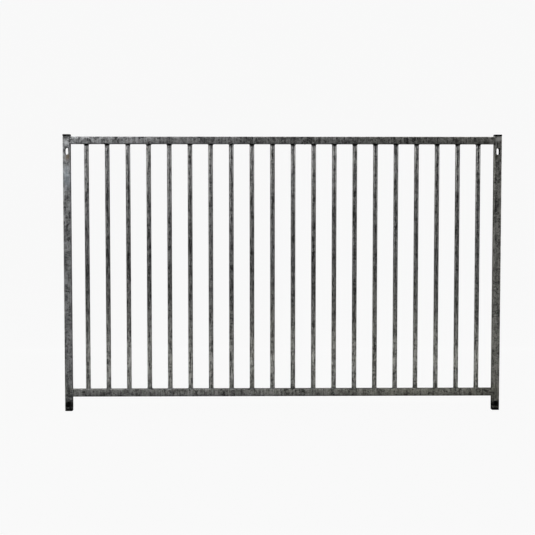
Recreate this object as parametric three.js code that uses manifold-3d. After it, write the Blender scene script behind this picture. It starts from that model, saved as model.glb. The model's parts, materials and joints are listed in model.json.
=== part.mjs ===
// Barred garden gate panel: a welded frame of square steel tube filled with round
// upright bars, hot-dip galvanised after welding, with plastic plugs in the open
// ends of both side posts.
//
// Millimetres, +Z up, width along X, thickness along Y. The origin is on the ground,
// midway between the two posts and midway through their thickness.

import * as THREE from 'three';
import { mergeVertices } from 'three/addons/utils/BufferGeometryUtils.js';
import Module from 'manifold-3d';

const wasm = await Module();
wasm.setup();

// ---- Driving dimensions -----------------------------------------------------------

const WIDTH = 1500; // over the outer faces of the posts
const HEIGHT = 950; // from the underside of the feet to the top of the caps
const TUBE = 25; // square tube, across the flats
const TUBE_WALL = 1.5;
const TUBE_CORNER = 2.5; // outside corner radius of the tube

const BARS = 20;
const BAR_PITCH = 70.6;
const BAR_DIAMETER = 16;
const BAR_WALL = 1.5;
const BAR_REACH = 3; // how far a bar's end stands inside its rail, past the wall
const BAR_HOLE_PLAY = 0.4; // between a bar and the hole that it stands in

const POST_RISE = 1.5; // how far a post's end stands above the top rail
const FOOT_CLEARANCE = 50; // from the ground to the underside of the bottom rail

const SLOT_WIDTH = 12;
const TOP_SLOT_LENGTH = 24;
const TOP_SLOT_DROP = 13; // from the top rail's underside to the top of the upper slot
const LOW_SLOT_LENGTH = 18;
const LOW_SLOT_RISE = 14; // from the ground to the bottom of the lower slot
const VENT_DIAMETER = 10; // lets the zinc run between a rail and its post

const CAP = { head: 6, side: TUBE + 1, shank: 20, fins: 3 };
const FOOT = { head: 8, side: TUBE, shank: 32, fins: 6 }; // its shank backs the whole lower slot
const HEAD_CORNER = 2.8; // corner radius of a plug's head inside its bevel
const HEAD_BEVEL = 1;
const SHANK = 19; // plug shank, across the flats
const SHANK_WALL = 2;
const SHANK_CORNER = 2;
const FIN = 21.2; // a grip fin, across the flats
const FIN_THICKNESS = 1.2;
const FIN_PITCH = 5;
const FIRST_FIN = 4; // from the head to the first fin

const GAP = 0.3; // kept between solids that touch on the real gate
const HOLE_SIDES = 20;
const CORNER_SIDES = 3;
const BEVEL_STEPS = 2;
const SHARPEST_CORNER = 0.5; // inside a tube
const SAME_POINT = 0.001; // vertices nearer than this are one

// ---- Positions that follow from them ------------------------------------------------

const POST_X = (WIDTH - TUBE) / 2;
const POST_BOTTOM = FOOT.head + GAP;
const POST_TOP = HEIGHT - CAP.head - GAP;
const POST_LENGTH = POST_TOP - POST_BOTTOM;
const POST_MIDDLE = (POST_TOP + POST_BOTTOM) / 2;
const RAIL_LENGTH = WIDTH - 2 * TUBE - 2 * GAP;
const TOP_RAIL_Z = POST_TOP - POST_RISE - TUBE / 2;
const BOTTOM_RAIL_Z = FOOT_CLEARANCE + TUBE / 2;
const BAR_BOTTOM = BOTTOM_RAIL_Z + TUBE / 2 - TUBE_WALL - BAR_REACH;
const BAR_TOP = TOP_RAIL_Z - TUBE / 2 + TUBE_WALL + BAR_REACH;
const TOP_SLOT_Z = TOP_RAIL_Z - TUBE / 2 - TOP_SLOT_DROP - TOP_SLOT_LENGTH / 2;
const LOW_SLOT_Z = LOW_SLOT_RISE + LOW_SLOT_LENGTH / 2;
const BAR_X = Array.from({ length: BARS }, (_, i) => (i - (BARS - 1) / 2) * BAR_PITCH);

// ---- Materials ----------------------------------------------------------------------

const galvanisedSteel = new THREE.MeshStandardMaterial({
  name: 'galvanised_steel',
  color: 0x77787a,
  roughness: 0.55,
  metalness: 0.85,
});
const blackPlastic = new THREE.MeshStandardMaterial({
  name: 'black_plastic',
  color: 0x101012,
  roughness: 0.5,
  metalness: 0,
});

// ---- Solids: booleans on closed geometries ------------------------------------------

function solidOf(geometry) {
  const bare = geometry.clone();
  bare.deleteAttribute('normal');
  bare.deleteAttribute('uv');
  const merged = mergeVertices(bare, SAME_POINT);
  return new wasm.Manifold(
    new wasm.Mesh({
      numProp: 3,
      vertProperties: merged.attributes.position.array,
      triVerts: new Uint32Array(merged.index.array),
    }),
  );
}

function geometryOf(solid) {
  const mesh = solid.getMesh();
  const geometry = new THREE.BufferGeometry();
  geometry.setAttribute('position', new THREE.BufferAttribute(mesh.vertProperties, 3));
  geometry.setIndex(new THREE.BufferAttribute(mesh.triVerts, 1));
  geometry.computeVertexNormals();
  return geometry;
}

function cutAway(geometry, cutters) {
  return geometryOf(cutters.reduce((left, c) => left.subtract(solidOf(c)), solidOf(geometry)));
}

function joined(geometries) {
  return geometryOf(geometries.map(solidOf).reduce((all, solid) => all.add(solid)));
}

// ---- Outlines and extrusions ----------------------------------------------------------

function roundedSquare(side, radius) {
  const h = side / 2;
  const c = h - radius;
  const outline = new THREE.Shape();
  outline.moveTo(-c, -h);
  outline.lineTo(c, -h);
  outline.absarc(c, -c, radius, -Math.PI / 2, 0, false);
  outline.lineTo(h, c);
  outline.absarc(c, c, radius, 0, Math.PI / 2, false);
  outline.lineTo(-c, h);
  outline.absarc(-c, c, radius, Math.PI / 2, Math.PI, false);
  outline.lineTo(-h, -c);
  outline.absarc(-c, -c, radius, Math.PI, Math.PI * 1.5, false);
  return outline;
}

// An outline swept up from z = 0.
function raised(outline, height, curveSegments = CORNER_SIDES) {
  return new THREE.ExtrudeGeometry(outline, { depth: height, bevelEnabled: false, curveSegments });
}

// A length of square tube, centred, running along Z.
function squareTube(length, side, wall, corner) {
  const outline = roundedSquare(side, corner);
  outline.holes.push(roundedSquare(side - 2 * wall, Math.max(corner - wall, SHARPEST_CORNER)));
  return raised(outline, length).translate(0, 0, -length / 2);
}

// A slot's round-ended outline, standing on end, swept right through along Y.
function slotCutter(length, z) {
  const r = SLOT_WIDTH / 2;
  const half = length / 2 - r;
  const outline = new THREE.Shape();
  outline.absarc(0, half, r, 0, Math.PI, false);
  outline.absarc(0, -half, r, Math.PI, Math.PI * 2, false);
  const through = 2 * TUBE;
  return raised(outline, through, HOLE_SIDES / 2)
    .translate(0, 0, -through / 2)
    .rotateX(Math.PI / 2)
    .translate(0, 0, z);
}

// ---- The pieces -------------------------------------------------------------------------

// side is -1 for the left post and 1 for the right one.
function postGeometry(side) {
  const tube = squareTube(POST_LENGTH, TUBE, TUBE_WALL, TUBE_CORNER);
  const slots = [
    slotCutter(TOP_SLOT_LENGTH, TOP_SLOT_Z - POST_MIDDLE),
    slotCutter(LOW_SLOT_LENGTH, LOW_SLOT_Z - POST_MIDDLE),
  ];
  const vents = [TOP_RAIL_Z, BOTTOM_RAIL_Z].map((z) =>
    new THREE.CylinderGeometry(VENT_DIAMETER / 2, VENT_DIAMETER / 2, TUBE / 2, HOLE_SIDES)
      .rotateZ(Math.PI / 2)
      .translate((-side * TUBE) / 2, 0, z - POST_MIDDLE),
  );
  return cutAway(tube, [...slots, ...vents]);
}

// inward is -1 where the bars come in from below and 1 where they come from above.
function railGeometry(inward) {
  const tube = squareTube(RAIL_LENGTH, TUBE, TUBE_WALL, TUBE_CORNER).rotateY(Math.PI / 2);
  const radius = BAR_DIAMETER / 2 + BAR_HOLE_PLAY;
  const holes = BAR_X.map((x) =>
    new THREE.CylinderGeometry(radius, radius, TUBE / 2, HOLE_SIDES)
      .rotateX(Math.PI / 2)
      .translate(x, 0, (inward * TUBE) / 2),
  );
  return cutAway(tube, holes);
}

function barGeometry() {
  const length = BAR_TOP - BAR_BOTTOM;
  const outline = new THREE.Shape().absarc(0, 0, BAR_DIAMETER / 2, 0, Math.PI * 2, false);
  const bore = new THREE.Path().absarc(0, 0, BAR_DIAMETER / 2 - BAR_WALL, 0, Math.PI * 2, false);
  outline.holes.push(bore);
  return raised(outline, length, HOLE_SIDES / 2).translate(0, 0, -length / 2);
}

// A plug as it sits in the bottom of a post: its head's flat end at z = 0, its
// hollow shank and grip fins above.
function plugGeometry({ head, side, shank, fins }) {
  const cap = new THREE.ExtrudeGeometry(roundedSquare(side - 2 * HEAD_BEVEL, HEAD_CORNER), {
    depth: head - 2 * HEAD_BEVEL,
    bevelThickness: HEAD_BEVEL,
    bevelSize: HEAD_BEVEL,
    bevelSegments: BEVEL_STEPS,
    curveSegments: CORNER_SIDES,
  }).translate(0, 0, HEAD_BEVEL);
  const root = head - HEAD_BEVEL; // the shank grows out of the head from here
  const reach = head + shank - root;
  const stem = squareTube(reach, SHANK, SHANK_WALL, SHANK_CORNER);
  const finWidth = (FIN - SHANK + SHANK_WALL) / 2; // rooted halfway through the shank's wall
  const rings = Array.from({ length: fins }, (_, i) =>
    squareTube(FIN_THICKNESS, FIN, finWidth, SHANK_CORNER).translate(
      0,
      0,
      head + FIRST_FIN + FIN_PITCH * i,
    ),
  );
  return joined([cap, stem.translate(0, 0, root + reach / 2), ...rings]);
}

// ---- The assembly ---------------------------------------------------------------------------

const gate = new THREE.Group();
gate.name = 'barred_gate_panel';

function place(name, geometry, material, x, z) {
  const mesh = new THREE.Mesh(geometry, material);
  mesh.name = name;
  mesh.position.set(x, 0, z);
  gate.add(mesh);
  return mesh;
}

const POSTS = [
  ['left', -1],
  ['right', 1],
];
for (const [word, side] of POSTS) {
  const x = side * POST_X;
  place(`${word}_post`, postGeometry(side), galvanisedSteel, x, POST_MIDDLE);
  place(`${word}_foot_plug`, plugGeometry(FOOT), blackPlastic, x, 0);
  const cap = place(`${word}_top_cap`, plugGeometry(CAP), blackPlastic, x, HEIGHT);
  cap.rotation.x = Math.PI;
}

place('top_rail', railGeometry(-1), galvanisedSteel, 0, TOP_RAIL_Z);
place('bottom_rail', railGeometry(1), galvanisedSteel, 0, BOTTOM_RAIL_Z);

BAR_X.forEach((x, i) => {
  const name = `bar_${String(i + 1).padStart(2, '0')}`;
  place(name, barGeometry(), galvanisedSteel, x, (BAR_TOP + BAR_BOTTOM) / 2);
});

export default gate;
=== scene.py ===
"""The looks of a welded, hot-dip galvanised gate panel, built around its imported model.

Metres, in the frame of the model: X along the width, Y from front to back, Z up.
"""

import json
import math

import bmesh
import bpy
from mathutils import Matrix, Vector


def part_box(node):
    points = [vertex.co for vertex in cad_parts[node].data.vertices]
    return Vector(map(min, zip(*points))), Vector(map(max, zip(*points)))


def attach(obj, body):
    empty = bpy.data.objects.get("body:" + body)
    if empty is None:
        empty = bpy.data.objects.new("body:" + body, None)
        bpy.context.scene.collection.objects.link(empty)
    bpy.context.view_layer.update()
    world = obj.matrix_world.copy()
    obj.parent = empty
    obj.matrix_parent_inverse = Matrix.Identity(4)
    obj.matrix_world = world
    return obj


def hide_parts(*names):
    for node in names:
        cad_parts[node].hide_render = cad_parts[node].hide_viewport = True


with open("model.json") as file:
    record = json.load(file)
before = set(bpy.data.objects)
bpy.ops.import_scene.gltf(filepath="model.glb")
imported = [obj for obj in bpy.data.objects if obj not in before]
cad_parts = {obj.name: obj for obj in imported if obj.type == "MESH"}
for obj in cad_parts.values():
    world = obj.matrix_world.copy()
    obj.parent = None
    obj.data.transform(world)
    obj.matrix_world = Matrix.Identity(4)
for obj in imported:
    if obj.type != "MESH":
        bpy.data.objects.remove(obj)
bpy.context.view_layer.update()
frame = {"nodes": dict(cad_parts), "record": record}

MM = 0.001

# ---- Sizes that the frame's boxes don't give -----------------------------------------

TUBE_WALL = 1.5 * MM
TUBE_CORNER = 2.5 * MM
CORNER_STEPS = 6
SHARP_FROM = math.radians(40)
SEAM = 0.002 * MM  # points nearer than this are one point
EDGE_SUPPORT = 0.4 * MM  # keeps the shading of a flat side flat up to its corner

SLOT_WIDTH = 12 * MM
TOP_SLOT_LENGTH = 24 * MM
LOW_SLOT_LENGTH = 18 * MM
LOW_SLOT_RISE = 14 * MM
SLOT_STEPS = 16
SLOT_LIP = 0.5 * MM  # the zinc rounds a punched edge over by this much
LIP_STEPS = 3
LIP_FROM = math.radians(50)  # edges sharper than this are punched ones

HEAD_CORNER = 3.4 * MM
HEAD_ROUND = 1.3 * MM
CAP_HEAD = 6 * MM
FOOT_HEAD = 8 * MM
SHANK = 19 * MM
SHANK_WALL = 2 * MM
SHANK_CORNER = 2 * MM
SHANK_END = 2 * MM  # at least this much of the shank's end has no fins
FIN = 21.6 * MM
FIN_PITCH = 5 * MM
FIN_START = 0.6  # of a pitch, from the head to the first fin
FIN_FOOT = 1.5 * MM
FIN_EDGE = (0.9 * MM, 1.3 * MM)

BAR_BEAD = 1.9 * MM  # radius of the weld bead round each end of a bar
RAIL_BEAD = 2.2 * MM
BEAD_PROUD = 0.3 * MM  # how far a rail's weld bead stands out of the tube's face
BEAD_OUT = 0.4 * MM  # how far the middle of a bar's weld bead lies outside the bar
BEAD_SIDES = 10
BEAD_CORNER_STEPS = 5
BAR_BEAD_STATIONS = 44
RAIL_BEAD_STATIONS = 110
BAR_STATIONS = 90
BAR_SIDES = 32

# How uneven the zinc leaves a surface, and how far apart its lumps are.
BAR_UNEVEN, BAR_LUMP = 0.25 * MM, 14 * MM
BAR_BEAD_UNEVEN, BAR_BEAD_LUMP = 1.1 * MM, 3.2 * MM
RAIL_BEAD_UNEVEN, RAIL_BEAD_LUMP = 0.35 * MM, 3.0 * MM
RUN_UNEVEN, RUN_LUMP = 0.0, 10 * MM

# The runs of zinc: how many on a square metre, and their size.
RUNS_PER_AREA = 450.0
RUN_THICKNESS = 0.38 * MM
RUN_WIDTH = 1.6 * MM
RUN_LENGTH = 7 * MM
RUN_SLOPE = 0.4  # a face that points further up or down than this has none

# ---- Places read from the frame --------------------------------------------------------


def middle(name):
    low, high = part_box(name)
    return (Vector(low) + Vector(high)) / 2


def opening_middle(name):
    for opening in frame["record"]["physics"]["openings"]:
        if opening["name"] == name:
            low, high = opening["box_m"]
            return (Vector(low) + Vector(high)) / 2
    raise KeyError(name)


BAR_NODES = sorted(name for name in frame["nodes"] if name.startswith("bar_"))
FIRST_BAR = middle(BAR_NODES[0])
BAR_PITCH = (middle(BAR_NODES[-1]).x - FIRST_BAR.x) / (len(BAR_NODES) - 1)
BAR_LOW, BAR_HIGH = (Vector(corner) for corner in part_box(BAR_NODES[0]))
BAR_RADIUS = (BAR_HIGH.x - BAR_LOW.x) / 2
POST_LOW, POST_HIGH = (Vector(corner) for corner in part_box("left_post"))
TUBE = POST_HIGH.x - POST_LOW.x
TOP_RAIL_LOW, TOP_RAIL_HIGH = (Vector(corner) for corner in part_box("top_rail"))
LOW_RAIL_LOW, LOW_RAIL_HIGH = (Vector(corner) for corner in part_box("bottom_rail"))

# ---- Nodes ------------------------------------------------------------------------------


def linear(code):
    """An sRGB colour such as '#8090A0' as linear RGBA."""
    shares = [int(code[i : i + 2], 16) / 255 for i in (1, 3, 5)]
    return [s / 12.92 if s <= 0.04045 else ((s + 0.055) / 1.055) ** 2.4 for s in shares] + [1.0]


def add(tree, kind, inputs=None, **settings):
    """Adds a node. inputs maps a socket's name or number to its value, or to the output that
    feeds it."""
    made = tree.nodes.new(kind)
    for name, value in settings.items():
        setattr(made, name, value)
    for name, value in (inputs or {}).items():
        if isinstance(value, bpy.types.NodeSocket):
            tree.links.new(value, made.inputs[name])
        else:
            made.inputs[name].default_value = value
    return made


def ramp(tree, factor, stops):
    """A colour ramp from (place, hex colour) stops."""
    made = add(tree, "ShaderNodeValToRGB", {0: factor})
    elements = made.color_ramp.elements
    while len(elements) < len(stops):
        elements.new(0.5)
    for element, (place, code) in zip(elements, stops):
        element.position = place
        element.color = linear(code)
    return made.outputs[0]


def span(tree, value, low, high, start=0.0, end=1.0):
    """Carries value from low..high to start..end, held at both ends."""
    made = add(
        tree,
        "ShaderNodeMapRange",
        {0: value, 1: low, 2: high, 3: start, 4: end},
        interpolation_type="SMOOTHSTEP",
    )
    return made.outputs[0]


def blend(tree, factor, first, second, mode="MIX"):
    """Mixes two colours; each is a hex code or an output."""
    colours = [linear(c) if isinstance(c, str) else c for c in (first, second)]
    made = add(
        tree,
        "ShaderNodeMix",
        {"Factor": factor, 6: colours[0], 7: colours[1]},
        data_type="RGBA",
        blend_type=mode,
    )
    return made.outputs[2]


def total(tree, *terms):
    """Adds up (output, weight) terms."""
    result = 0.0
    for output, weight in terms:
        inputs = {0: output, 1: weight, 2: result}
        made = add(tree, "ShaderNodeMath", inputs, operation="MULTIPLY_ADD")
        result = made.outputs[0]
    return result


def by_height(tree, height, stops):
    """A colour ramp over a height in millimetres, from (height, hex colour) stops."""
    lowest, highest = stops[0][0], stops[-1][0]
    share = add(tree, "ShaderNodeMapRange", {0: height, 1: lowest, 2: highest}).outputs[0]
    return ramp(tree, share, [((at - lowest) / (highest - lowest), code) for at, code in stops])


def vector(tree, x=0.0, y=0.0, z=0.0):
    return add(tree, "ShaderNodeCombineXYZ", {0: x, 1: y, 2: z}).outputs[0]


def new_material(name):
    """A material with its principled shader, and the object's own coordinates in millimetres."""
    material = bpy.data.materials.new(name)
    material.use_nodes = True
    tree = material.node_tree
    shader = tree.nodes["Principled BSDF"]
    place = add(tree, "ShaderNodeTexCoord").outputs["Object"]
    inputs = {0: place, "Scale": 1 / MM}
    in_mm = add(tree, "ShaderNodeVectorMath", inputs, operation="SCALE").outputs[0]
    return material, tree, shader, in_mm


def grain(tree, where, size, detail=3.0, roughness=0.55, stretch=(1, 1, 1)):
    """Noise whose lumps are about size millimetres across, drawn out along an axis by stretch."""
    squeezed = add(
        tree,
        "ShaderNodeVectorMath",
        {0: where, 1: [1 / (size * s) for s in stretch]},
        operation="MULTIPLY",
    ).outputs[0]
    inputs = {"Vector": squeezed, "Scale": 1.0, "Detail": detail, "Roughness": roughness}
    return add(tree, "ShaderNodeTexNoise", inputs).outputs[0]


def cells(tree, where, size, feature="F1"):
    """Crystals or specks about size millimetres apart."""
    inputs = {"Vector": where, "Scale": 1 / size}
    return add(tree, "ShaderNodeTexVoronoi", inputs, feature=feature)


# ---- Materials --------------------------------------------------------------------------


def mark(tree, coat, across, height, ragged, middle_x, middle_z, wide, tall, colour, amount):
    """Colours an oval patch of the coat with an uneven edge. Its place and size are in mm."""
    aside = total(tree, (across, 1 / wide), (-middle_x / wide, 1.0))
    above = total(tree, (height, 1 / tall), (-middle_z / tall, 1.0))
    away = add(tree, "ShaderNodeVectorMath", {0: vector(tree, aside, above)}, operation="LENGTH")
    edge = total(tree, (away.outputs["Value"], 1.0), (ragged, 0.9))
    return blend(tree, span(tree, edge, 1.6, 0.7, 0.0, amount), coat, colour)


def zinc_coat(
    name,
    light,
    dark,
    bands,
    roughness=(0.38, 0.6),
    streaks=0.6,
    blotches=0.85,
    stained=0.5,
    drawn=1.0,
):
    """Steel dipped in molten zinc and left outdoors: a dull grey metal, mottled by its
    crystals and streaked by where the zinc ran, with painted shade in its corners, darker towards
    the ground.

    bands are (height in mm, colour) stops that the coat is toned by: painted shade and shadow by
    the rails, and the bars' lighter and darker heights.
    drawn is how many times taller than wide its patches are.
    The mottle is drawn coarser than real zinc's, so that it shows from where the camera is."""
    material, tree, shader, where = new_material(name)
    place = add(tree, "ShaderNodeSeparateXYZ", {0: where})
    across, height = place.outputs[0], place.outputs[2]
    crystal = cells(tree, where, 8.0)
    crystal_tone = add(tree, "ShaderNodeSeparateColor", {0: crystal.outputs["Color"]}).outputs[0]
    mottle = grain(tree, where, 4.2, detail=4.0, roughness=0.65)
    patch = grain(tree, where, 45.0, detail=3.0, stretch=(1, 1, drawn))
    runs = grain(tree, where, 3.6, detail=2.0, stretch=(1, 1, 14))
    tones = (crystal_tone, 0.25), (mottle, blotches), (patch, 0.3), (runs, streaks)
    even = 0.5 * sum(weight for _, weight in tones)
    tone = span(tree, total(tree, *tones), even - 0.28, even + 0.28)
    coat = ramp(tree, tone, [(0.0, dark), (1.0, light)])

    haze = grain(tree, where, 260.0 / drawn, stretch=(1, 1, drawn))
    drift = total(tree, (across, 1 / 1500 / drawn), (haze, 0.9))
    tints = [(0.0, "#FBFDFF"), (0.35, "#FFFFFF"), (0.8, "#FFFFFA"), (1.0, "#FFFEF5")]
    coat = blend(tree, 1.0, coat, ramp(tree, span(tree, drift, -0.1, 1.0), tints), "MULTIPLY")
    # tones the coat by height from the bands; on the tubes and beads this is painted shade and
    # shadow by the rails
    coat = blend(tree, 1.0, coat, by_height(tree, height, bands), "MULTIPLY")
    for place_and_look in MARKS:
        coat = mark(tree, coat, across, height, mottle, *place_and_look)

    stain = grain(tree, where, 16.0, detail=4.0, roughness=0.6)
    coat = blend(tree, span(tree, stain, 0.6, 0.74, 0.0, stained), coat, "#242423")
    specks = cells(tree, where, 11.0).outputs["Distance"]
    coat = blend(tree, span(tree, specks, 0.16, 0.05, 0.0, 0.6), coat, "#C9CCCD")
    # darkens the coat towards the ground
    foot_dark = by_height(tree, total(tree, (height, 1.0), (mottle, 12.0), (-6.0, 1.0)), FOOT_DARKENING)
    coat = blend(tree, foot_dark, coat, "#0B0B0A")

    # painted shade: ambient occlusion darkens the coat in corners and crevices
    reach = {"Distance": 40 * MM}
    crevice_shade = add(tree, "ShaderNodeAmbientOcclusion", reach, samples=8).outputs["AO"]
    coat = blend(tree, span(tree, crevice_shade, 0.78, 0.42, 0.0, 0.94), coat, "#0E0E0D")

    tree.links.new(coat, shader.inputs["Base Color"])
    shader.inputs["Metallic"].default_value = 0.9
    shader.inputs["Specular Tint"].default_value = linear("#2C2C2C")
    low, high = roughness
    rough = span(tree, total(tree, (mottle, 0.6), (crystal_tone, 0.4)), 0.3, 0.75, low, high)
    tree.links.new(rough, shader.inputs["Roughness"])

    relief = total(tree, (mottle, 0.5), (runs, 0.35), (patch, 0.6), (crystal_tone, 0.06))
    bump = add(tree, "ShaderNodeBump", {"Strength": 1.0, "Distance": 0.55 * MM, "Height": relief})
    tree.links.new(bump.outputs[0], shader.inputs["Normal"])
    return material


def moulded_plastic():
    """Injection-moulded black polyethylene: satin, almost black, with a fine even grain that
    dust catches in, and pale scuffs where it meets the ground."""
    material, tree, shader, where = new_material("moulded black polyethylene")
    texture = grain(tree, where, 0.9, detail=2.0)
    scuffs = grain(tree, where, 5.0, detail=5.0, roughness=0.7, stretch=(2.5, 2.5, 0.6))
    colour = blend(tree, span(tree, scuffs, 0.55, 0.8, 0.0, 0.35), "#030303", "#0E0E0E")
    tree.links.new(colour, shader.inputs["Base Color"])
    tree.links.new(span(tree, texture, 0.3, 0.7, 0.5, 0.68), shader.inputs["Roughness"])
    shader.inputs["Specular IOR Level"].default_value = 0.1
    height = total(tree, (texture, 1.0), (scuffs, 1.5))
    bump = add(tree, "ShaderNodeBump", {"Strength": 0.5, "Distance": 0.08 * MM, "Height": height})
    tree.links.new(bump.outputs[0], shader.inputs["Normal"])
    return material


def seamless_paper():
    """Matt white background paper, lit evenly through from behind: flat, with no gloss. Its
    base is nearly black, so that its white is all its own light and the lamps add none."""
    material, tree, shader, where = new_material("seamless white paper")
    fibre = grain(tree, where, 30.0, detail=2.0)
    tone = ramp(tree, fibre, [(0.0, "#131312"), (1.0, "#161616")])
    tree.links.new(tone, shader.inputs["Base Color"])
    shader.inputs["Roughness"].default_value = 0.95
    shader.inputs["Specular IOR Level"].default_value = 0.0
    shader.inputs["Emission Color"].default_value = linear("#FFFFFF")
    shader.inputs["Emission Strength"].default_value = 0.94
    return material


LEFT_X, RIGHT_X = (middle(node).x / MM for node in ("left_post", "right_post"))
SLOT_Z = opening_middle("left_bolt_slot").z / MM
TUBE_TOP = POST_HIGH.z / MM

# Marks from handling and weather, and painted shade: across, height, how wide, how tall, colour,
# how much it covers.
MARKS = [
    (LEFT_X + 4, SLOT_Z - 19, 11, 14, "#685A4A", 0.75),  # rust that weeps from a bolt slot
    (RIGHT_X - 5, SLOT_Z - 17, 11, 13, "#5E5A49", 0.5),
    (LEFT_X + 2, TUBE_TOP - 22, 10, 9, "#C4C7C9", 0.35),  # pale patches and streaks on the posts' upper parts
    (RIGHT_X + 1, TUBE_TOP - 9, 13, 14, "#CACAC6", 0.75),
    (RIGHT_X - 8, TUBE_TOP - 25, 2, 22, "#C9C9C5", 0.7),
    (RIGHT_X + 7, SLOT_Z - 40, 3, 7, "#CACAC8", 0.7),
    (LEFT_X + 1, SLOT_Z - 90, 17, 48, "#B2BCC4", 0.4),
    (LEFT_X - 2, TUBE_TOP - 4, 13, 10, "#0E0E0D", 0.85),  # painted shade under the cap
    (LEFT_X + 13, TUBE_TOP - 28, 6, 4, "#050505", 0.95),  # painted shadow in the corners under the rail
    (RIGHT_X - 13, TUBE_TOP - 27, 5, 4, "#141414", 0.8),
    (LEFT_X + 165, TUBE_TOP - 14, 15, 15, "#3A3A39", 0.5),  # a dull patch on the top rail
    (LEFT_X + 118, 58, 18, 12, "#2A2A29", 0.5),  # and on the bottom one
    (LEFT_X, 76, 15, 17, "#444444", 0.6),  # darker patches low on the posts, by the bottom rail
    (RIGHT_X, 66, 15, 19, "#3E3E3D", 0.5),
    (RIGHT_X - 2, 34, 5, 5, "#B0B0AC", 0.6),  # a scrape on the right foot
]

# How far the feet are darkened, by height: a white stop hides the zinc. The strip
# below each lower slot is darkened a little less.
FOOT_DARKENING = [
    (8, "#D6D6D6"),
    (13, "#D6D6D6"),
    (17, "#FAFAFA"),
    (28, "#EFEFEF"),
    (34, "#B0B0B0"),
    (45, "#606060"),
    (56, "#000000"),
]

# Each rail is painted darker along its lower edge, and the posts just under the top rail: painted
# shade of light from above.
RAIL_SHADE = [
    (44, "#F4F4F0"),
    (51, "#C8C8C3"),
    (60, "#F0F0E9"),
    (73, "#FFFFF7"),
    (95, "#F0F0EF"),
    (860, "#F0F0F0"),
    (917, "#D6D6D6"),
    (938, "#FFFFFF"),
]

# The beads under the top rail are painted dark: a painted shadow of the rail.
RAIL_SHADOW_ON_BEADS = [
    (72, "#FFFFFF"),
    (860, "#B0B0B0"),
    (912, "#202020"),
    (919, "#2A2A2A"),
    (926, "#C8C8C8"),
]

# The bars are toned darker along the middle and lighter towards the bottom rail; just under
# the top rail they are painted dark, a painted shadow of the rail.
BAR_TONE_AND_SHADOW = [
    (75, "#C0C0BB"),
    (92, "#E6E6E1"),
    (172, "#FAFAF4"),
    (258, "#D4D4CF"),
    (379, "#AAAAA8"),
    (517, "#A0A0A0"),
    (655, "#A4A4A4"),
    (776, "#B4B4B4"),
    (856, "#C0C0C0"),
    (909, "#C9C9C9"),
    # painted shadow of the top rail on the bars' upper ends
    (913, "#343434"),
]

ZINC = zinc_coat("hot-dip galvanised tube", "#ADADAD", "#3F3F3F", RAIL_SHADE)
ZINC_WELD = zinc_coat(
    "weld bead under zinc", "#A4A5A6", "#3C3C3C", RAIL_SHADOW_ON_BEADS, roughness=(0.42, 0.62)
)
ZINC_BAR = zinc_coat(
    "hot-dip galvanised round bar",
    "#CBCBCB",
    "#484848",
    BAR_TONE_AND_SHADOW,
    streaks=1.1,
    blotches=0.65,
    stained=0.25,
    drawn=7.0,
)
PLASTIC = moulded_plastic()

# ---- Pieces ---------------------------------------------------------------------------------


def add_object(name, mesh):
    piece = bpy.data.objects.new(name, mesh)
    bpy.context.scene.collection.objects.link(piece)
    return piece


def flatten(piece):
    """The piece's mesh with its modifiers worked in, as a plain mesh."""
    graph = bpy.context.evaluated_depsgraph_get()
    mesh = bpy.data.meshes.new_from_object(piece.evaluated_get(graph), depsgraph=graph)
    piece.modifiers.clear()
    piece.data = mesh
    return piece


def tidy_faces(mesh):
    """Closes seams, turns every face outwards and smooths all but the sharp edges."""
    work = bmesh.new()
    work.from_mesh(mesh)
    bmesh.ops.remove_doubles(work, verts=work.verts, dist=SEAM)
    bmesh.ops.recalc_face_normals(work, faces=work.faces)
    work.to_mesh(mesh)
    work.free()
    mesh.shade_smooth()
    mesh.set_sharp_from_angle(angle=SHARP_FROM)


def hand_over(piece, slot, *nodes):
    """Attaches a finished piece to the root body and hides the CAD nodes it stands in for; the
    finish it is given is not used.
    """
    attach(piece, "root")
    if nodes:
        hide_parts(*nodes)


def rounded_square(side, corner, z):
    """Points round a square with rounded corners, with support points beside each corner."""
    half = side / 2
    points = []
    for quarter in range(4):
        turn = Matrix.Rotation(quarter * math.pi / 2, 3, "Z")
        inset = half - corner
        support = Vector((half, inset - EDGE_SUPPORT, 0))
        points.append(turn @ support)
        for step in range(CORNER_STEPS + 1):
            angle = step / CORNER_STEPS * math.pi / 2
            out = Vector((math.cos(angle), math.sin(angle), 0)) * corner
            points.append(turn @ (Vector((inset, inset, 0)) + out))
        points.append(turn @ Vector((inset - EDGE_SUPPORT, half, 0)))
    return [point + Vector((0, 0, z)) for point in points]


def loft(work, rings, around=False):
    """Skins a stack of rings. around joins the last ring to the first; otherwise both ends are
    capped."""
    loops = [[work.verts.new(point) for point in ring] for ring in rings]
    pairs = list(zip(loops, loops[1:]))
    if around:
        pairs.append((loops[-1], loops[0]))
    else:
        work.faces.new(reversed(loops[0]))
        work.faces.new(loops[-1])
    for lower, upper in pairs:
        for i in range(len(lower)):
            j = (i + 1) % len(lower)
            work.faces.new((lower[i], lower[j], upper[j], upper[i]))


def mesh_of(name, work):
    mesh = bpy.data.meshes.new(name)
    work.to_mesh(mesh)
    work.free()
    return mesh


def square_tube(name, side, wall, corner, low, high):
    """A hollow square tube standing on the Z axis from low to high."""
    work = bmesh.new()
    bore = side - 2 * wall
    bore_corner = corner - wall
    rings = [
        rounded_square(side, corner, low),
        rounded_square(side, corner, high),
        rounded_square(bore, bore_corner, high),
        rounded_square(bore, bore_corner, low),
    ]
    loft(work, rings, around=True)
    return mesh_of(name, work)


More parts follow.
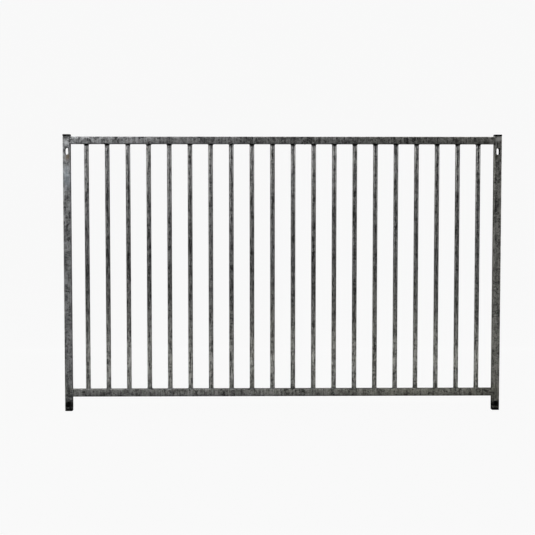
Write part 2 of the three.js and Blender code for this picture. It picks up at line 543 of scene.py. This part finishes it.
def slot_cutter(length, x, z):
    """A round-ended prism, standing on end, that passes right through a post along Y."""
    radius = SLOT_WIDTH / 2
    straight = length / 2 - radius
    outline = []
    for end in (1, -1):
        for step in range(SLOT_STEPS + 1):
            angle = step / SLOT_STEPS * math.pi
            across = math.cos(angle) * radius * end
            up = (math.sin(angle) * radius + straight) * end
            outline.append((x + across, z + up))
    work = bmesh.new()
    loft(work, [[Vector((u, y, v)) for u, v in outline] for y in (TUBE, -TUBE)])
    cutter = add_object("slot_cutter", mesh_of("slot_cutter", work))
    tidy_faces(cutter.data)
    return cutter


def build_post(side):
    """A post: square tube with two round-ended slots, their punched edges rounded by the zinc."""
    node = f"{side}_post"
    low, high = (Vector(corner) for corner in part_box(node))
    x = (low.x + high.x) / 2
    tube = square_tube(node, TUBE, TUBE_WALL, TUBE_CORNER, low.z, high.z)
    tube.transform(Matrix.Translation((x, 0, 0)))
    tidy_faces(tube)
    post = add_object(f"{side}_post_tube", tube)
    top_slot = slot_cutter(TOP_SLOT_LENGTH, x, opening_middle(f"{side}_bolt_slot").z)
    low_slot = slot_cutter(LOW_SLOT_LENGTH, x, LOW_SLOT_RISE + LOW_SLOT_LENGTH / 2)
    for cutter in (top_slot, low_slot):
        post.modifiers.new("slot", "BOOLEAN").object = cutter
    flatten(post)
    bpy.data.objects.remove(top_slot)
    bpy.data.objects.remove(low_slot)
    lip = post.modifiers.new("lip", "BEVEL")
    lip.width = SLOT_LIP
    lip.segments = LIP_STEPS
    lip.angle_limit = LIP_FROM
    post.modifiers.new("flat sides", "WEIGHTED_NORMAL").keep_sharp = True
    flatten(post)
    post.data.materials.clear()
    post.data.materials.append(ZINC)
    hand_over(post, "galvanised_steel", node)
    return post


def build_rail(node):
    """A rail: square tube lying along X between the posts."""
    low, high = (Vector(corner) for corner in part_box(node))
    length = high.x - low.x
    tube = square_tube(node, TUBE, TUBE_WALL, TUBE_CORNER, -length / 2, length / 2)
    tube.transform(Matrix.Rotation(math.pi / 2, 4, "Y"))
    tube.transform(Matrix.Translation(((low.x + high.x) / 2, 0, (low.z + high.z) / 2)))
    tidy_faces(tube)
    tube.materials.append(ZINC)
    rail = add_object(f"{node}_tube", tube)
    hand_over(rail, "galvanised_steel", node)
    return rail


def build_plug(node, side, head, points_up):
    """A plastic plug: a head with rounded edges, a hollow shank and wedge-shaped grip fins."""
    low, high = (Vector(corner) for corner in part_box(node))
    reach = high.z - low.z
    work = bmesh.new()
    shell = []
    for step in range(CORNER_STEPS + 1):
        angle = step / CORNER_STEPS * math.pi / 2
        inset = HEAD_ROUND * (1 - math.sin(angle))
        rise = HEAD_ROUND * (1 - math.cos(angle))
        shell.append((side - 2 * inset, HEAD_CORNER - inset / 2, rise))
    shell += [(s, c, head - z) for s, c, z in reversed(shell)]
    loft(work, [rounded_square(*ring) for ring in shell])
    outer, inner = SHANK, SHANK - 2 * SHANK_WALL
    root = head - HEAD_ROUND
    shank = [(outer, SHANK_CORNER, root), (outer, SHANK_CORNER, reach)]
    shank += [(inner, SHANK_CORNER / 2, reach), (inner, SHANK_CORNER / 2, root)]
    loft(work, [rounded_square(*ring) for ring in shank], around=True)
    fins = int((reach - head - SHANK_END) / FIN_PITCH)
    for i in range(fins):
        z = head + FIN_PITCH * (i + FIN_START)
        edge_low, edge_high = FIN_EDGE
        root_side = SHANK - MM
        wedge = [(root_side, z), (FIN, z + edge_low)]
        wedge += [(FIN, z + edge_high), (root_side, z + FIN_FOOT)]
        loft(work, [rounded_square(s, SHANK_CORNER, v) for s, v in wedge])
    mesh = mesh_of(node, work)
    if not points_up:
        mesh.transform(Matrix.Rotation(math.pi, 4, "X"))
    mesh.transform(Matrix.Translation(((low.x + high.x) / 2, 0, low.z if points_up else high.z)))
    tidy_faces(mesh)
    mesh.materials.append(PLASTIC)
    plug = add_object(f"{node}_moulding", mesh)
    hand_over(plug, "black_plastic", node)
    return plug


# ---- Trees for what repeats -----------------------------------------------------------------

SOCKETS = {
    float: "NodeSocketFloat",
    int: "NodeSocketInt",
    bpy.types.Material: "NodeSocketMaterial",
    bpy.types.Object: "NodeSocketObject",
}


def geometry_tree(name, **kinds):
    """A tree with an input for each name, and its outputs to read them from."""
    tree = bpy.data.node_groups.new(name, "GeometryNodeTree")
    tree.interface.new_socket("Geometry", in_out="OUTPUT", socket_type="NodeSocketGeometry")
    for word, kind in kinds.items():
        tree.interface.new_socket(word, in_out="INPUT", socket_type=SOCKETS[kind])
    return tree, add(tree, "NodeGroupInput").outputs


def finish_tree(tree, geometry, unevenness, lump, material):
    """Realizes what was placed, makes its surface uneven, and gives it its finish."""
    solid = add(tree, "GeometryNodeRealizeInstances", {0: geometry}).outputs[0]
    noise = add(tree, "ShaderNodeTexNoise", {"Scale": 1 / lump, "Detail": 2.0}).outputs[0]
    swing = add(tree, "ShaderNodeMath", {0: noise, 1: 0.5}, operation="SUBTRACT").outputs[0]
    depth = add(tree, "ShaderNodeMath", {0: swing, 1: unevenness}, operation="MULTIPLY").outputs[0]
    normal = add(tree, "GeometryNodeInputNormal").outputs[0]
    inputs = {0: normal, "Scale": depth}
    push = add(tree, "ShaderNodeVectorMath", inputs, operation="SCALE").outputs[0]
    moved = add(tree, "GeometryNodeSetPosition", {"Geometry": solid, "Offset": push}).outputs[0]
    dressed = add(tree, "GeometryNodeSetMaterial", {0: moved, "Material": material}).outputs[0]
    tree.links.new(dressed, add(tree, "NodeGroupOutput").inputs[0])


def row_of_points(tree, count, first, pitch, z):
    start = vector(tree, first, 0.0, z)
    inputs = {"Count": count, "Start Location": start, "Offset": vector(tree, pitch)}
    return add(tree, "GeometryNodeMeshLine", inputs, mode="OFFSET").outputs[0]


def circle(tree, sides, radius):
    inputs = {"Resolution": sides, "Radius": radius}
    return add(tree, "GeometryNodeCurvePrimitiveCircle", inputs).outputs[0]


def upright_bars_tree():
    """A row of round bars, each swept along its own axis."""
    tree, size = geometry_tree(
        "Upright bars",
        Count=int,
        First=float,
        Pitch=float,
        Radius=float,
        Bottom=float,
        Top=float,
        Unevenness=float,
        Material=bpy.types.Material,
    )
    points = row_of_points(tree, size["Count"], size["First"], size["Pitch"], 0.0)
    ends = {"Start": vector(tree, 0, 0, size["Bottom"]), "End": vector(tree, 0, 0, size["Top"])}
    axis = add(tree, "GeometryNodeCurvePrimitiveLine", ends).outputs[0]
    inputs = {"Curve": axis, "Count": BAR_STATIONS}
    stations = add(tree, "GeometryNodeResampleCurve", inputs).outputs[0]
    section = circle(tree, BAR_SIDES, size["Radius"])
    sweep = {"Curve": stations, "Profile Curve": section, "Fill Caps": True}
    bar = add(tree, "GeometryNodeCurveToMesh", sweep).outputs[0]
    inputs = {"Points": points, "Instance": bar}
    placed = add(tree, "GeometryNodeInstanceOnPoints", inputs).outputs[0]
    finish_tree(tree, placed, size["Unevenness"], BAR_LUMP, size["Material"])
    return tree


def bar_beads_tree():
    """A ring of weld metal round each end of every bar, no two alike."""
    tree, size = geometry_tree(
        "Weld beads round the bars",
        Count=int,
        First=float,
        Pitch=float,
        Radius=float,
        Bead=float,
        Bottom=float,
        Top=float,
        Unevenness=float,
        Seed=int,
        Material=bpy.types.Material,
    )
    rows = add(tree, "GeometryNodeJoinGeometry")
    for level in ("Top", "Bottom"):
        row = row_of_points(tree, size["Count"], size["First"], size["Pitch"], size[level])
        tree.links.new(row, rows.inputs[0])
    ring = circle(tree, BAR_BEAD_STATIONS, size["Radius"])
    section = circle(tree, BEAD_SIDES, size["Bead"])
    sweep = {"Curve": ring, "Profile Curve": section}
    bead = add(tree, "GeometryNodeCurveToMesh", sweep).outputs[0]
    turn = {0: [0, 0, 0], 1: [0, 0, 2 * math.pi], "Seed": size["Seed"]}
    spin = add(tree, "FunctionNodeRandomValue", turn, data_type="FLOAT_VECTOR").outputs[0]
    swell = {0: [0.96, 0.96, 0.8], 1: [1.06, 1.06, 1.3], "Seed": size["Seed"]}
    stretch = add(tree, "FunctionNodeRandomValue", swell, data_type="FLOAT_VECTOR").outputs[0]
    inputs = {"Points": rows.outputs[0], "Instance": bead, "Rotation": spin, "Scale": stretch}
    placed = add(tree, "GeometryNodeInstanceOnPoints", inputs).outputs[0]
    finish_tree(tree, placed, size["Unevenness"], BAR_BEAD_LUMP, size["Material"])
    return tree


def rail_beads_tree():
    """A line of weld metal round each end of both rails."""
    tree, size = geometry_tree(
        "Weld beads round the rail ends",
        Reach=float,
        Side=float,
        Corner=float,
        Bead=float,
        Bottom=float,
        Top=float,
        Unevenness=float,
        Material=bpy.types.Material,
    )
    reach = size["Reach"]
    width = add(tree, "ShaderNodeMath", {0: reach, 1: 2.0}, operation="MULTIPLY").outputs[0]
    start = add(tree, "ShaderNodeMath", {0: reach, 1: -1.0}, operation="MULTIPLY").outputs[0]
    rows = add(tree, "GeometryNodeJoinGeometry")
    for level in ("Top", "Bottom"):
        tree.links.new(row_of_points(tree, 2, start, width, size[level]), rows.inputs[0])
    sides = {"Width": size["Side"], "Height": size["Side"]}
    square = add(tree, "GeometryNodeCurvePrimitiveQuadrilateral", sides).outputs[0]
    corners = {"Curve": square, "Radius": size["Corner"], "Count": BEAD_CORNER_STEPS}
    path = add(tree, "GeometryNodeFilletCurve", corners, mode="POLY").outputs[0]
    inputs = {"Curve": path, "Count": RAIL_BEAD_STATIONS}
    stations = add(tree, "GeometryNodeResampleCurve", inputs).outputs[0]
    sweep = {"Curve": stations, "Profile Curve": circle(tree, BEAD_SIDES, size["Bead"])}
    bead = add(tree, "GeometryNodeCurveToMesh", sweep).outputs[0]
    inputs = {"Points": rows.outputs[0], "Instance": bead, "Rotation": [0, math.pi / 2, 0]}
    placed = add(tree, "GeometryNodeInstanceOnPoints", inputs).outputs[0]
    finish_tree(tree, placed, size["Unevenness"], RAIL_BEAD_LUMP, size["Material"])
    return tree


def zinc_runs_tree():
    """Drawn-out lumps on the upright faces of a piece, where the zinc set as it ran down."""
    tree, size = geometry_tree(
        "Zinc runs",
        Surface=bpy.types.Object,
        Density=float,
        Thickness=float,
        Width=float,
        Length=float,
        Seed=int,
        Material=bpy.types.Material,
    )
    surface = add(tree, "GeometryNodeObjectInfo", {"Object": size["Surface"]}).outputs["Geometry"]
    normal = add(tree, "GeometryNodeInputNormal").outputs[0]
    tip = add(tree, "ShaderNodeSeparateXYZ", {0: normal}).outputs[2]
    slope = add(tree, "ShaderNodeMath", {0: tip}, operation="ABSOLUTE").outputs[0]
    steepness = {0: slope, 1: RUN_SLOPE}
    upright = add(tree, "FunctionNodeCompare", steepness, operation="LESS_THAN").outputs[0]
    seed = size["Seed"]
    inputs = {"Mesh": surface, "Selection": upright, "Density": size["Density"], "Seed": seed}
    points = add(tree, "GeometryNodeDistributePointsOnFaces", inputs)
    ball = {"Segments": 10, "Rings": 6, "Radius": 1.0}
    drop = add(tree, "GeometryNodeMeshUVSphere", ball).outputs[0]
    outwards = {"Vector": points.outputs["Normal"]}
    facing = add(
        tree, "FunctionNodeAlignRotationToVector", outwards, axis="X", pivot_axis="Z"
    ).outputs[0]
    least = vector(tree, size["Thickness"], size["Width"], size["Width"])
    most = vector(tree, size["Thickness"], size["Width"], size["Length"])
    spread = {0: least, 1: most, "Seed": seed}
    shape = add(tree, "FunctionNodeRandomValue", spread, data_type="FLOAT_VECTOR").outputs[0]
    share = add(tree, "FunctionNodeRandomValue", {2: 0.5, 3: 1.0, "Seed": seed}).outputs[1]
    inputs = {0: shape, "Scale": share}
    shape = add(tree, "ShaderNodeVectorMath", inputs, operation="SCALE").outputs[0]
    inputs = {"Points": points.outputs[0], "Instance": drop, "Rotation": facing, "Scale": shape}
    placed = add(tree, "GeometryNodeInstanceOnPoints", inputs).outputs[0]
    finish_tree(tree, placed, RUN_UNEVEN, RUN_LUMP, size["Material"])
    return tree


def grow(name, tree, slot, nodes=(), **sizes):
    """Runs a tree with these sizes and keeps what it makes as a plain mesh."""
    piece = add_object(name, bpy.data.meshes.new(name))
    modifier = piece.modifiers.new("grow", "NODES")
    modifier.node_group = tree
    for item in tree.interface.items_tree:
        if item.in_out == "INPUT":
            modifier[item.identifier] = sizes[item.name]
    flatten(piece)
    tidy_faces(piece.data)
    hand_over(piece, slot, *nodes)
    return piece


# ---- The panel ------------------------------------------------------------------------------

posts = [build_post("left"), build_post("right")]
rails = [build_rail("top_rail"), build_rail("bottom_rail")]
for word in ("left", "right"):
    cap_low, cap_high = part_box(f"{word}_top_cap")
    build_plug(f"{word}_top_cap", cap_high[0] - cap_low[0], CAP_HEAD, points_up=False)
    foot_low, foot_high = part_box(f"{word}_foot_plug")
    build_plug(f"{word}_foot_plug", foot_high[0] - foot_low[0], FOOT_HEAD, points_up=True)

bars = grow(
    "upright_bars",
    upright_bars_tree(),
    "galvanised_steel",
    BAR_NODES,
    Count=len(BAR_NODES),
    First=FIRST_BAR.x,
    Pitch=BAR_PITCH,
    Radius=BAR_RADIUS,
    Bottom=BAR_LOW.z,
    Top=BAR_HIGH.z,
    Unevenness=BAR_UNEVEN,
    Material=ZINC_BAR,
)

grow(
    "bar_weld_beads",
    bar_beads_tree(),
    "galvanised_steel",
    Count=len(BAR_NODES),
    First=FIRST_BAR.x,
    Pitch=BAR_PITCH,
    Radius=BAR_RADIUS + BEAD_OUT,
    Bead=BAR_BEAD,
    Bottom=LOW_RAIL_HIGH.z,
    Top=TOP_RAIL_LOW.z,
    Unevenness=BAR_BEAD_UNEVEN,
    Seed=7,
    Material=ZINC_WELD,
)

grow(
    "rail_weld_beads",
    rail_beads_tree(),
    "galvanised_steel",
    Reach=TOP_RAIL_HIGH.x,
    Side=TUBE + 2 * (BEAD_PROUD - RAIL_BEAD),
    Corner=TUBE_CORNER,
    Bead=RAIL_BEAD,
    Bottom=(LOW_RAIL_LOW.z + LOW_RAIL_HIGH.z) / 2,
    Top=(TOP_RAIL_LOW.z + TOP_RAIL_HIGH.z) / 2,
    Unevenness=RAIL_BEAD_UNEVEN,
    Material=ZINC_WELD,
)

runs = zinc_runs_tree()
for seed, piece in enumerate([*posts, *rails, bars]):
    grow(
        f"{piece.name}_zinc_runs",
        runs,
        "galvanised_steel",
        Surface=piece,
        Density=RUNS_PER_AREA,
        Thickness=RUN_THICKNESS,
        Width=RUN_WIDTH,
        Length=RUN_LENGTH,
        Seed=seed,
        Material=ZINC_BAR if piece == bars else ZINC,
    )

# ---- Studio ---------------------------------------------------------------------------------


def build_backdrop():
    """White paper all round: a flat floor that sweeps up into a round wall."""
    floor, bend, top, sides, bend_steps = 7.0, 2.0, 8.0, 96, 16
    profile = [(floor, 0.0)]
    for step in range(1, bend_steps + 1):
        angle = step / bend_steps * math.pi / 2
        profile.append((floor + math.sin(angle) * bend, bend - math.cos(angle) * bend))
    profile.append((floor + bend, top))
    work = bmesh.new()
    turns = [(math.cos(a), math.sin(a)) for a in (i / sides * 2 * math.pi for i in range(sides))]
    rings = [[work.verts.new((r * c, r * s, z)) for c, s in turns] for r, z in profile]
    work.faces.new(rings[0])
    for lower, upper in zip(rings, rings[1:]):
        for i in range(sides):
            j = (i + 1) % sides
            work.faces.new((upper[i], upper[j], lower[j], lower[i]))
    mesh = mesh_of("paper_cove", work)
    mesh.shade_smooth()
    mesh.set_sharp_from_angle(angle=SHARP_FROM)
    mesh.materials.append(seamless_paper())
    cove = add_object("paper_cove", mesh)
    cove.visible_glossy = False
    cove.visible_diffuse = False
    cove.visible_shadow = False


def soft_box(name, place, towards, width, height, power):
    """A rectangular diffused lamp at place, aimed at a point."""
    lamp = bpy.data.lights.new(name, "AREA")
    lamp.shape = "RECTANGLE"
    lamp.size = width
    lamp.size_y = height
    lamp.energy = power
    box = add_object(name, lamp)
    box.location = place
    box.rotation_euler = (Vector(towards) - Vector(place)).to_track_quat("-Z", "Y").to_euler()
    box.visible_camera = False


def build_lights():
    """Soft boxes far to both sides, in front and behind, with low strips, a small one at the
    left corner, one overhead and a grey room round them all."""
    room = bpy.data.worlds.new("grey studio walls")
    room.use_nodes = True
    room.node_tree.nodes["Background"].inputs["Color"].default_value = linear("#656565")
    bpy.context.scene.world = room
    soft_box("far left", (-5.9, -1.2, 2.4), (0.0, 0.0, 0.7), 1.2, 1.6, 110)
    soft_box("near left", (-4.8, -3.4, 0.9), (0.0, 0.0, 0.5), 1.2, 1.2, 13)
    soft_box("far right", (5.9, -1.8, 2.2), (0.0, 0.0, 0.7), 1.2, 1.6, 165)
    soft_box("low strip", (0.0, -1.7, 0.06), (0.0, 0.0, 0.1), 2.6, 0.12, 4.9)
    soft_box("corner", (-1.25, -0.8, 1.5), (-0.7, 0.0, 0.9), 0.4, 0.4, 15)
    soft_box("back left", (-4.0, 4.8, 1.5), (0.0, 0.0, 0.5), 2.0, 1.4, 45)
    soft_box("back right", (4.0, 4.8, 1.5), (0.0, 0.0, 0.5), 2.0, 1.4, 45)
    soft_box("overhead", (0.0, 0.6, 3.4), (0.0, 0.6, 0.0), 3.0, 1.0, 60)
    soft_box("back low strip", (0.0, 1.7, 0.06), (0.0, 0.0, 0.1), 2.6, 0.12, 4.9)


def build_camera():
    """Eye level with the panel's upper half, a little left of its middle, tilted slightly down."""
    lens = bpy.data.cameras.new("camera")
    lens.lens = 76.37
    camera = add_object("camera", lens)
    camera.location = (-0.113, -3.9, 0.711)
    camera.rotation_euler = (math.radians(90 - 3.176), 0, math.radians(-0.889))
    bpy.context.scene.camera = camera


build_backdrop()
build_lights()
build_camera()
bpy.context.scene.view_settings.view_transform = "Standard"
